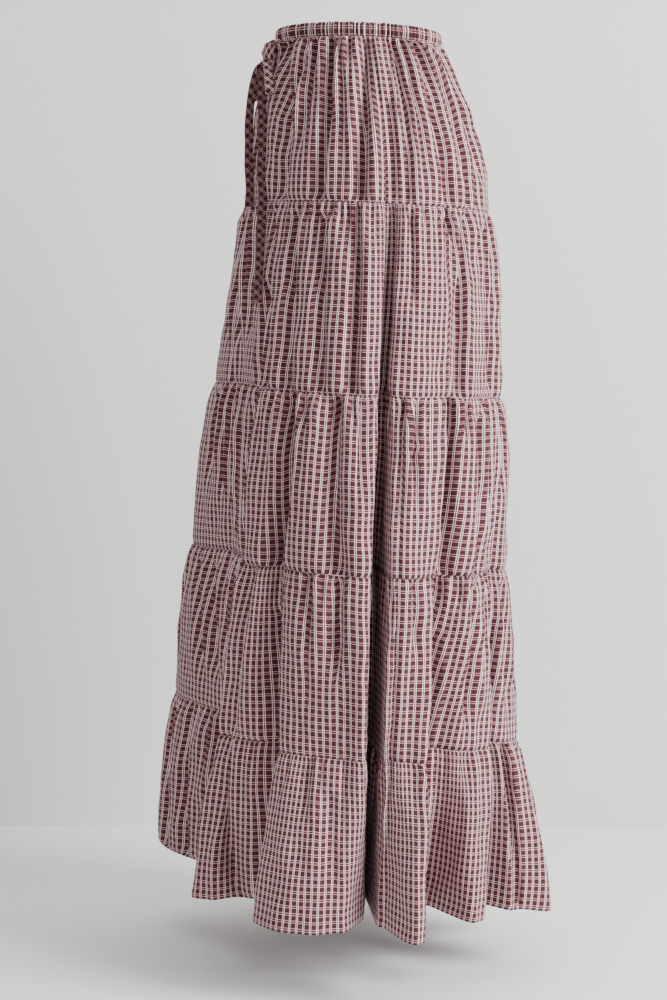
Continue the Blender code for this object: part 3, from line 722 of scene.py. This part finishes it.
# %% Waistband
BAND_HEIGHT = 0.0156
BAND_GATHERS = 162
BandRow = namedtuple("BandRow", "out up gathered")
BAND_ROWS = (
    BandRow(-0.9, -0.50, 0.25), BandRow(1.1, -0.44, 0.6), BandRow(2.1, -0.30, 0.9),
    BandRow(2.6, -0.10, 1.0), BandRow(2.7, 0.12, 1.0), BandRow(2.4, 0.30, 1.0),
    BandRow(1.6, 0.43, 0.95), BandRow(0.6, 0.50, 0.8), BandRow(-0.5, 0.50, 0.6),
    BandRow(-1.4, 0.42, 0.5), BandRow(-1.8, 0.26, 0.5), BandRow(-1.9, 0.00, 0.5),
    BandRow(-1.8, -0.25, 0.4), BandRow(-1.5, -0.49, 0.3),
)
band_columns = 9 * BAND_GATHERS
band_angles = np.linspace(0, 2 * math.pi, band_columns + 1)
band_ring = ring_points(band_angles, 0.0)[0]
band_out = plan_normals(band_ring)
band_out[0] = band_out[-1] = (band_out[0] + band_out[-1]) / 2
band_dice = np.random.default_rng(41).random((BAND_GATHERS + 1, 3))
band_dice[-1] = band_dice[0]
band_wave = np.zeros(band_columns + 1)
band_at = np.linspace(0, BAND_GATHERS, band_columns + 1)
for gather in range(BAND_GATHERS + 1):
    wander, deep, wide = band_dice[gather]
    middle = gather + 0.5 * (wander - 0.5)
    band_wave += (0.55 + 0.75 * deep) * np.exp(-((band_at - middle) / (0.19 + 0.12 * wide)) ** 2)
band_points = []
for row in BAND_ROWS:
    flat = band_ring + band_out * (row.out / 1000 - 0.0050 * band_wave * row.gathered)[:, None]
    rise = row.up * (BAND_HEIGHT - 0.0030 * band_wave * row.gathered)
    band_points.append(with_height(flat, -rise, np.zeros(len(flat))))
band_points = np.array(band_points)
band_points[:, -1] = band_points[:, 0]
band_girth = float(np.linalg.norm(np.diff(band_ring, axis=0), axis=1).sum())
band_strip = np.concatenate(([0], np.cumsum(np.linalg.norm(
    np.diff(band_points[:, 3], axis=0), axis=1))))
band_cut = sum(cut.width for cut in cuts[:2])
band_taken = 1 + 0.8 * np.minimum(band_wave, 1.0)
band_thread = np.cumsum(band_taken) / band_taken.sum() * band_cut
band_u = np.broadcast_to(band_thread[None, :], band_points.shape[:2])
band_v = np.broadcast_to(-band_strip[:, None], band_points.shape[:2])
waistband = grid_piece("casing_cloth", band_points, np.stack((band_u, band_v), axis=-1))
joint = bmesh.new()
joint.from_mesh(waistband.data)
bmesh.ops.remove_doubles(joint, verts=joint.verts, dist=1e-6)
joint.to_mesh(waistband.data)
joint.free()
thicken(waistband, 0.0005)
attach(waistband, "root")
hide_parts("waistband")
print("casing:", round(band_girth, 3), "m round, cut", round(float(band_thread[-1]), 3), "m by",
      round(float(band_strip[-1]), 4), "m")

# %% [markdown]
# ## The tie
#
# The tie is a narrow bias strip, folded flat. It leaves the casing as one lead, is knotted
# into a bow, and ends in two tails of different length. A tape is made by drawing a flat
# rounded outline along its route, turning it so that its width faces the way it hangs.
# The routes are those of the measured frame, drawn through with a smooth curve.

# %% Routes of the tie
TIE_WIDTH = 0.0100
TIE_THICKNESS = 0.0022
SHORT_TAIL = (
    (0.0025, -0.1125, -0.0258), (0.0025, -0.1125, -0.0288), (0.0005, -0.1194, -0.0340),
    (-0.0020, -0.1246, -0.0498), (-0.0050, -0.1277, -0.0676), (-0.0100, -0.1288, -0.0896),
    (-0.0130, -0.1289, -0.1156), (-0.0110, -0.1294, -0.1435), (-0.0060, -0.1295, -0.1675),
    (-0.0020, -0.1312, -0.1904),
)
LONG_TAIL = (
    (0.0055, -0.1125, -0.0258), (0.0055, -0.1125, -0.0288), (0.0075, -0.1160, -0.0372),
    (0.0110, -0.1189, -0.0541), (0.0170, -0.1208, -0.0740), (0.0240, -0.1209, -0.0960),
    (0.0330, -0.1235, -0.1238), (0.0380, -0.1260, -0.1517), (0.0420, -0.1251, -0.1777),
    (0.0490, -0.1278, -0.1996), (0.0600, -0.1317, -0.2234), (0.0700, -0.1350, -0.2472),
    (0.0800, -0.1387, -0.2731), (0.0880, -0.1419, -0.2989),
)
SHORT_LOOP = (
    (-0.0006, -0.1130, -0.0258), (-0.0006, -0.1130, -0.0288), (-0.0035, -0.1147, -0.0349),
    (-0.0064, -0.1165, -0.0409), (-0.0094, -0.1182, -0.0470), (-0.0126, -0.1198, -0.0531),
    (-0.0159, -0.1214, -0.0592), (-0.0195, -0.1230, -0.0652), (-0.0212, -0.1232, -0.0671),
    (-0.0236, -0.1231, -0.0685), (-0.0260, -0.1225, -0.0690), (-0.0278, -0.1217, -0.0685),
    (-0.0286, -0.1208, -0.0671), (-0.0280, -0.1202, -0.0652), (-0.0243, -0.1187, -0.0592),
    (-0.0204, -0.1173, -0.0531), (-0.0163, -0.1159, -0.0470), (-0.0121, -0.1146, -0.0409),
    (-0.0078, -0.1133, -0.0349), (-0.0034, -0.1120, -0.0288), (-0.0034, -0.1120, -0.0258),
)
LONG_LOOP = (
    (0.0114, -0.1129, -0.0258), (0.0114, -0.1129, -0.0288), (0.0159, -0.1135, -0.0342),
    (0.0204, -0.1140, -0.0396), (0.0247, -0.1146, -0.0451), (0.0289, -0.1151, -0.0505),
    (0.0330, -0.1155, -0.0559), (0.0368, -0.1159, -0.0613), (0.0375, -0.1159, -0.0632),
    (0.0368, -0.1155, -0.0645), (0.0350, -0.1150, -0.0650), (0.0325, -0.1144, -0.0645),
    (0.0300, -0.1139, -0.0632), (0.0281, -0.1136, -0.0613), (0.0245, -0.1132, -0.0559),
    (0.0210, -0.1129, -0.0505), (0.0177, -0.1127, -0.0451), (0.0146, -0.1125, -0.0396),
    (0.0115, -0.1123, -0.0342), (0.0086, -0.1121, -0.0288), (0.0086, -0.1121, -0.0258),
)


def smooth_route(stops, step=0.0022):
    """Points a little apart along a smooth curve through the stops."""
    stops = np.array(stops)
    travelled = np.concatenate(([0], np.cumsum(np.linalg.norm(np.diff(stops, axis=0), axis=1))))
    count = max(2, int(travelled[-1] / step))
    slopes = np.gradient(stops, travelled, axis=0)
    at = np.linspace(0, travelled[-1], count)
    left = np.clip(np.searchsorted(travelled, at) - 1, 0, len(travelled) - 2)
    span = (travelled[left + 1] - travelled[left])[:, None]
    t = (at[:, None] - travelled[left][:, None]) / span
    return ((1 + 2 * t) * (1 - t) ** 2 * stops[left] + t * (1 - t) ** 2 * span * slopes[left]
            + t * t * (3 - 2 * t) * stops[left + 1] + t * t * (t - 1) * span * slopes[left + 1])


def route_length(route):
    """How long a route is, in metres."""
    return float(np.linalg.norm(np.diff(np.asarray(route), axis=0), axis=1).sum())


for name, stops in (("short tail", SHORT_TAIL), ("long tail", LONG_TAIL),
                    ("short side's loop", SHORT_LOOP), ("long side's loop", LONG_LOOP)):
    print(name, round(route_length(smooth_route(stops)), 4), "m")

# %% [markdown]
# ### Drawing the tape
#
# `create_circle` makes the filled end, and each `extrude_face_region` carries that end one
# step along the route. The outline is a flattened round that is a little cupped, with
# slight kinks, because a bias fold never lies quite flat.


# %% The tape maker
def tape_outline(sides, width, thickness, cup):
    """A flattened round: across its width, and its thickness with a slight cup."""
    turn = np.arange(sides) * 2 * math.pi / sides
    wide, thick = np.cos(turn), np.sin(turn)
    across = 0.5 * width * np.sign(wide) * np.abs(wide) ** 0.75
    rise = 0.5 * thickness * np.sign(thick) * np.abs(thick) ** 0.8 + cup * (across / width) ** 2
    return across, rise, np.cumsum(np.concatenate(([0], np.hypot(np.diff(across), np.diff(rise)))))


def make_tape(name, route, facings, width=TIE_WIDTH, thickness=TIE_THICKNESS, cup=0.0008,
              seed=1, sides=22):
    """A flat tape along a route, its width turned to the facing at each point."""
    route = np.asarray(route)
    ways = np.gradient(route, axis=0)
    ways /= np.linalg.norm(ways, axis=1)[:, None]
    travelled = np.concatenate(([0], np.cumsum(np.linalg.norm(np.diff(route, axis=0), axis=1))))
    across, rise, girth = tape_outline(sides, width, thickness, cup)
    dice = np.random.default_rng(seed)
    phases, pitches = dice.random(3) * 6.28, (0.031, 0.019, 0.0115)
    form = bmesh.new()
    bmesh.ops.create_circle(form, cap_ends=True, segments=sides, radius=1.0)
    layer = form.loops.layers.uv.new("cloth")
    marks = {}
    cap = form.faces[:][0]
    ring = list(cap.verts)
    for index, (centre, way, distance) in enumerate(zip(route, ways, travelled)):
        if index:
            grown = bmesh.ops.extrude_face_region(form, geom=[cap])
            cap = next(item for item in grown["geom"] if isinstance(item, bmesh.types.BMFace))
            ring = [edge.other_vert(old) for old in ring for edge in old.link_edges
                    if edge.other_vert(old) in cap.verts]
        side = facings[index] - way * np.dot(facings[index], way)
        side /= np.linalg.norm(side)
        face = np.cross(side, way)
        wobble = sum(0.00028 * math.sin(6.28 * distance / pitch + phase)
                     for pitch, phase in zip(pitches, phases))
        narrow = 1 - 0.05 * math.sin(6.28 * distance / 0.047 + phases[0])
        for corner, vert in enumerate(ring):
            kink = wobble * math.cos(2.2 * across[corner] / width + phases[1])
            place = centre + side * across[corner] * narrow + face * (rise[corner] + kink)
            vert.co = place
            marks[vert] = (girth[corner], distance)
    for part in form.faces:
        for corner in part.loops:
            corner[layer].uv = marks[corner.vert]
    bmesh.ops.recalc_face_normals(form, faces=form.faces)
    mesh = bpy.data.meshes.new(name)
    form.to_mesh(mesh)
    form.free()
    mesh.shade_smooth()
    mesh.set_sharp_from_angle(angle=math.radians(60))
    piece = bpy.data.objects.new(name, mesh)
    bpy.context.scene.collection.objects.link(piece)
    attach(piece, "root")
    return piece


print("tape outline is", round(float(tape_outline(22, TIE_WIDTH, TIE_THICKNESS, 0.0008)[2][-1]), 4))


# %% Tails, loops and lead
def turned_facings(route, facing, both_ends):
    """Square under the knot, then turned to the strand's own facing."""
    travelled = np.concatenate(([0], np.cumsum(np.linalg.norm(np.diff(route, axis=0), axis=1))))
    near = np.minimum(travelled, travelled[-1] - travelled) if both_ends else travelled
    share = np.clip(near / 0.020, 0, 1)[:, None]
    ways = (1 - share) * np.array([[0.0, 1.0, 0.0]]) + share * np.array([[*facing, 0.0]])
    return ways / np.linalg.norm(ways, axis=1)[:, None]


tie = {}
for name, node, stops, facing, both_ends, seed in (
        ("bow_tail_short", "tie_tail_short", SHORT_TAIL, (0.42, 0.91), False, 3),
        ("bow_tail_long", "tie_tail_long", LONG_TAIL, (0.42, 0.91), False, 5),
        ("bow_loop_short", "tie_loop_short_side", SHORT_LOOP, (0.31, 0.95), True, 7),
        ("bow_loop_long", "tie_loop_long_side", LONG_LOOP, (0.259, 0.966), True, 9)):
    route = smooth_route(stops)
    tie[name] = make_tape(name, route, turned_facings(route, facing, both_ends), seed=seed)
    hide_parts(node)
    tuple(route[0])
    print(name, round(route_length(route), 4), "m")
lead_route = smooth_route(((0.004, -0.0948, -0.0046), (0.004, -0.1010, -0.0048),
                           (0.004, -0.1062, -0.0064), (0.004, -0.1086, -0.0105)), 0.0012)
tie["bow_lead"] = make_tape("bow_lead", lead_route, np.tile((1.0, 0.0, 0.0), (len(lead_route), 1)),
                            width=0.0100, thickness=0.0074, cup=0.0, seed=2)
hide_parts("tie_lead")

# %% [markdown]
# ## The knot
#
# Pulled tight, the tie wraps over itself into a small upright cushion with creases that
# run round it. A cube is divided and rounded, and its surface is drawn in along two
# slanting wraps and a few fine pleats.

# %% Knot
KNOT_CENTRE = Vector((0.0040, -0.1090, -0.0152))
KNOT_SIZE = Vector((0.0190, 0.0156, 0.0216))
form = bmesh.new()
bmesh.ops.create_cube(form, size=1.0)
bmesh.ops.subdivide_edges(form, edges=form.edges, cuts=19, use_grid_fill=True)
for vert in form.verts:
    round_way = vert.co.normalized()
    square = vert.co * 2.0
    soft = (abs(square.x) ** 4 + abs(square.y) ** 4 + abs(square.z) ** 4) ** 0.25
    vert.co = square / max(soft, 1e-6) * 0.5
for vert in form.verts:
    x, y, z = vert.co
    turn = math.atan2(y, x)
    wraps = (0.5 - 0.5 * math.cos(2 * math.pi * (2.1 * z + 0.45 * x + 0.22))) ** 3
    pleats = 0.5 - 0.5 * math.cos(9 * z * 2 * math.pi + 2.3 * math.sin(2 * turn + 1))
    shrink = (1 - 0.10 * wraps - 0.035 * pleats - 0.06 * (2 * z) ** 2) * (1 - 0.8 * max(z, 0.0))
    vert.co = Vector((x * shrink, y * shrink, z))
form.verts.ensure_lookup_table()
layer = form.loops.layers.uv.new("cloth")
for part in form.faces:
    for corner in part.loops:
        x, y, z = corner.vert.co
        corner[layer].uv = (0.016 * (math.atan2(y, abs(x) + 0.2) + x), 0.019 * z)
bmesh.ops.scale(form, vec=KNOT_SIZE, verts=form.verts)
bmesh.ops.translate(form, vec=KNOT_CENTRE, verts=form.verts)
bmesh.ops.recalc_face_normals(form, faces=form.faces)
mesh = bpy.data.meshes.new("bow_knot")
form.to_mesh(mesh)
form.free()
mesh.shade_smooth()
knot = bpy.data.objects.new("bow_knot", mesh)
bpy.context.scene.collection.objects.link(knot)
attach(knot, "root")
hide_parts("tie_knot")
print("knot has", len(mesh.polygons), "faces")

# %% [markdown]
# ## Checked cotton
#
# A plain weave shows warp and weft about equally, so the two stripe patterns are screened
# together, which leaves the crossings palest and the squares dark. Everything is read from the
# cloth's own UV map in metres. A weave of yarns a third of a millimetre wide gives the surface
# its bump, and slubs vary its tone.


# %% The check material
def link(tree, source, target):
    """Join two sockets."""
    tree.links.new(source, target)


def math_node(tree, operation, first, second=None):
    """A Math node with its inputs joined or set."""
    node = tree.nodes.new("ShaderNodeMath")
    node.operation = operation
    for socket, value in zip(node.inputs, (first, second)):
        if isinstance(value, bpy.types.NodeSocket):
            link(tree, value, socket)
        elif value is not None:
            socket.default_value = value
    return node.outputs[0]


def stripe_ramp(tree, along, yarns, ground, pale, between):
    """One yarn sequence: a ground stripe and two pale yarns with a dark one between."""
    ramp = tree.nodes.new("ShaderNodeValToRGB")
    first, inner, outer = yarns
    stops = ((0.0, ground), (first - 0.015, ground), (first, pale), (inner - 0.015, pale),
             (inner, between), (outer - 0.015, between), (outer, pale), (0.985, pale),
             (1.0, ground))
    while len(ramp.color_ramp.elements) < len(stops):
        ramp.color_ramp.elements.new(1.0)
    for element, (place, colour) in zip(ramp.color_ramp.elements, stops):
        element.position = place
        element.color = (*colour, 1.0)
    link(tree, math_node(tree, "FRACT", along), ramp.inputs["Fac"])
    return ramp.outputs["Color"]


WARP_YARNS, WEFT_YARNS = (0.715, 0.786, 0.928), (0.640, 0.714, 0.920)


def checked_cotton(name, ground, warp_pale, weft_pale, warp_gap, weft_gap, turn=0.0):
    """Yarn-dyed checked cotton on the cloth's own UV map, turned by an angle."""
    material = bpy.data.materials.new(name)
    material.use_nodes = True
    tree = material.node_tree
    shader = tree.nodes["Principled BSDF"]
    shader.inputs["Roughness"].default_value = 0.88
    shader.inputs["Specular IOR Level"].default_value = 0.15
    shader.inputs["Sheen Weight"].default_value = 0.05
    shader.inputs["Sheen Roughness"].default_value = 0.5
    flat = tree.nodes.new("ShaderNodeUVMap")
    flat.uv_map = "cloth"
    placed = tree.nodes.new("ShaderNodeMapping")
    placed.inputs["Rotation"].default_value = (0.0, 0.0, turn)
    placed.inputs["Scale"].default_value = (1 / CHECK_SIZE, 1 / CHECK_TALL, 1.0)
    link(tree, flat.outputs["UV"], placed.inputs["Vector"])
    parts = tree.nodes.new("ShaderNodeSeparateXYZ")
    link(tree, placed.outputs["Vector"], parts.inputs["Vector"])
    warp = stripe_ramp(tree, parts.outputs["X"], WARP_YARNS, ground, warp_pale, warp_gap)
    weft = stripe_ramp(tree, parts.outputs["Y"], WEFT_YARNS, ground, weft_pale, weft_gap)
    woven = tree.nodes.new("ShaderNodeMix")
    woven.data_type = "RGBA"
    woven.blend_type = "SCREEN"
    woven.inputs[0].default_value = 1.0
    link(tree, warp, woven.inputs[6])
    link(tree, weft, woven.inputs[7])
    slubs = tree.nodes.new("ShaderNodeTexNoise")
    slubs.inputs["Scale"].default_value = 1.7
    slubs.inputs["Detail"].default_value = 3.0
    link(tree, placed.outputs["Vector"], slubs.inputs["Vector"])
    worn = tree.nodes.new("ShaderNodeMix")
    worn.data_type = "RGBA"
    worn.blend_type = "MULTIPLY"
    worn.inputs[0].default_value = 1.0
    shade = tree.nodes.new("ShaderNodeValToRGB")
    shade.color_ramp.elements[0].position = 0.25
    shade.color_ramp.elements[0].color = (0.86, 0.85, 0.85, 1)
    shade.color_ramp.elements[1].position = 0.75
    shade.color_ramp.elements[1].color = (1.08, 1.06, 1.06, 1)
    link(tree, slubs.outputs["Fac"], shade.inputs["Fac"])
    link(tree, woven.outputs[2], worn.inputs[6])
    link(tree, shade.outputs["Color"], worn.inputs[7])
    link(tree, worn.outputs[2], shader.inputs["Base Color"])
    yarns = CHECK_SIZE / 0.00037 * math.pi
    warp_yarn = math_node(tree, "SINE", math_node(tree, "MULTIPLY", parts.outputs["X"], yarns))
    weft_yarn = math_node(tree, "SINE", math_node(tree, "MULTIPLY", parts.outputs["Y"], yarns))
    weave = math_node(tree, "MULTIPLY", warp_yarn, weft_yarn)
    bump = tree.nodes.new("ShaderNodeBump")
    bump.inputs["Strength"].default_value = 0.35
    bump.inputs["Distance"].default_value = 0.00006
    link(tree, weave, bump.inputs["Height"])
    link(tree, bump.outputs["Normal"], shader.inputs["Normal"])
    return material


cotton = checked_cotton("checked_cotton", (0.036, 0.0105, 0.0120), (0.97, 0.77, 0.80),
                        (0.66, 0.355, 0.38), (0.060, 0.024, 0.028), (0.046, 0.014, 0.017))
# The tails' copy is the same check darkened all over: painted shade for the tails, which hang in
# shadow.
tail_cotton_in_painted_shade = checked_cotton("bias_checked_cotton", (0.020, 0.0046, 0.0056), (0.32, 0.19, 0.20),
                            (0.26, 0.14, 0.15), (0.018, 0.005, 0.006), (0.018, 0.005, 0.006),
                            turn=math.radians(45))
# The loops, lead and knot keep about the skirt's own colours.
loop_cotton = checked_cotton("bias_checked_cotton_of_the_bow", (0.038, 0.009, 0.011),
                             (0.90, 0.68, 0.70), (0.68, 0.44, 0.46), (0.05, 0.019, 0.022),
                             (0.04, 0.014, 0.017), turn=math.radians(45))
for piece in (*panels.values(), waistband):
    piece.data.materials.append(cotton)
# The tails take the copy with painted shade; the rest of the bow takes its own colours.
for name, piece in tie.items():
    piece.data.materials.append(tail_cotton_in_painted_shade if name.startswith("bow_tail") else loop_cotton)
knot.data.materials.append(loop_cotton)
print("materials:", [material.name for material in bpy.data.materials if material.users])

# %% [markdown]
# ## Floor, wall and light
#
# A pale room with a white floor and a light grey wall close behind, lit by three large soft
# lights: a key above and to the camera's right, a weaker fill to its left and one overhead.
# The wall is seen from its front only, so that views from behind the skirt still look into the room.


# %% The stage
def plain_material(name, colour, roughness=0.7):
    """A matt wall or floor paint."""
    material = bpy.data.materials.new(name)
    material.use_nodes = True
    shader = material.node_tree.nodes["Principled BSDF"]
    shader.inputs["Base Color"].default_value = (*colour, 1)
    shader.inputs["Roughness"].default_value = roughness
    shader.inputs["Specular IOR Level"].default_value = 0.2
    return material


def stage_sheet(name, size, placed, material):
    """A flat sheet of the room, put in its place."""
    form = bmesh.new()
    bmesh.ops.create_grid(form, x_segments=1, y_segments=1, size=0.5 * size)
    bmesh.ops.transform(form, matrix=placed, verts=form.verts)
    mesh = bpy.data.meshes.new(name)
    form.to_mesh(mesh)
    form.free()
    mesh.materials.append(material)
    sheet = bpy.data.objects.new(name, mesh)
    bpy.context.scene.collection.objects.link(sheet)
    return sheet


FLOOR_DROP = 1.05
WALL_BEHIND = 0.69
floor_paint = plain_material("floor_paint", (0.90, 0.89, 0.88))
wall_paint = plain_material("wall_paint", (0.76, 0.76, 0.755))
tree = wall_paint.node_tree
seen = tree.nodes.new("ShaderNodeNewGeometry")
clear = tree.nodes.new("ShaderNodeBsdfTransparent")
either = tree.nodes.new("ShaderNodeMixShader")
link(tree, seen.outputs["Backfacing"], either.inputs["Fac"])
link(tree, tree.nodes["Principled BSDF"].outputs["BSDF"], either.inputs[1])
link(tree, clear.outputs["BSDF"], either.inputs[2])
link(tree, either.outputs["Shader"], tree.nodes["Material Output"].inputs["Surface"])
stage_sheet("floor", 24, Matrix.Translation((0, 0, -FLOOR_DROP)), floor_paint)
back = Vector((-math.sin(VIEW_TURN), math.cos(VIEW_TURN), 0)) * WALL_BEHIND
upright = Matrix.Rotation(VIEW_TURN, 4, "Z") @ Matrix.Rotation(math.pi / 2, 4, "X")
stage_sheet("wall", 24, Matrix.Translation((back.x, back.y, 12 - FLOOR_DROP)) @ upright,
            wall_paint)


def soft_light(name, place, target, size, power, colour=(1.0, 1.0, 1.0)):
    """A large square light that faces a point."""
    data = bpy.data.lights.new(name, "AREA")
    data.shape = "SQUARE"
    data.size = size
    data.energy = power
    data.color = colour
    lamp = bpy.data.objects.new(name, data)
    lamp.location = place
    way = Vector(target) - Vector(place)
    lamp.rotation_euler = way.to_track_quat("-Z", "Y").to_euler()
    bpy.context.scene.collection.objects.link(lamp)
    return lamp


def beside(right, towards, up):
    """A place given from the camera's side: to its right, towards it, and above the waist."""
    view = Vector((math.sin(VIEW_TURN), -math.cos(VIEW_TURN), 0))
    across = Vector((math.cos(VIEW_TURN), math.sin(VIEW_TURN), 0))
    return across * right + view * towards + Vector((0, 0, up))


soft_light("key", beside(2.3, 1.6, 0.7), (0, 0, -0.5), 1.5, 192, (1.0, 0.99, 0.99))
soft_light("fill", beside(-1.8, 2.4, 0.4), (0, 0, -0.5), 2.0, 20, (1.0, 0.985, 0.96))
soft_light("ceiling", beside(0.0, 0.5, 2.2), (0, 0, -1.0), 2.4, 40, (1.0, 0.995, 0.99))
world = bpy.data.worlds.new("studio")
world.use_nodes = True
world.node_tree.nodes["Background"].inputs["Color"].default_value = (0.80, 0.80, 0.81, 1)
world.node_tree.nodes["Background"].inputs["Strength"].default_value = 0.32
bpy.context.scene.world = world
print("stage and three lights")

# %% [markdown]
# ## What was cut from what
#
# Each panel's size as cut is kept in the list of cuts and printed as the panel is made.
# A tier hangs from the one above, and the first from the casing.

print(len(cuts) + 1, "sheets declared")
